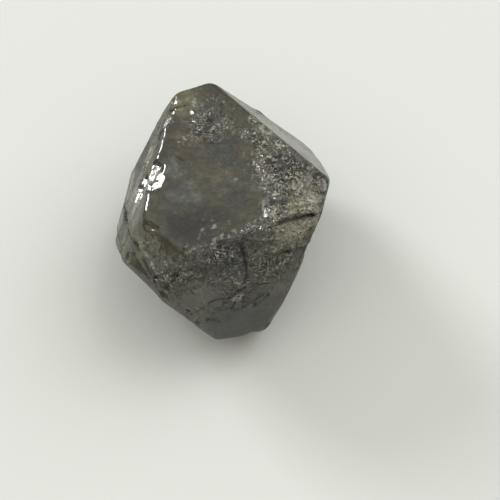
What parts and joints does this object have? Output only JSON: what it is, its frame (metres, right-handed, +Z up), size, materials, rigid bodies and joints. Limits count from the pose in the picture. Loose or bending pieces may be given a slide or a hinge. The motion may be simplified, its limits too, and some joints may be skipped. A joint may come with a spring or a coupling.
{
  "type": "rough diamond crystal",
  "caption": "Natural octahedral rough diamond, grey and translucent, with stepped ledges, cracks and etch pits; lies on one face as a specimen, prop or uncut gem.",
  "frame": {"origin": "on the surface that the stone lies on, under the middle of its bounding box", "axes": "+Z up from the face it lies on; +Y along its longest horizontal extent, toward the far rounded corner; +X to the right, seen from the pictured side"},
  "size_m": [0.0076, 0.0084, 0.006],
  "materials": {
    "rough_diamond": "natural crystal faces, glossy to lightly etched, dark translucent grey-olive"
  },
  "bodies": {
    "root": {"rough_diamond": "rough_diamond"}
  },
  "joints": []
}
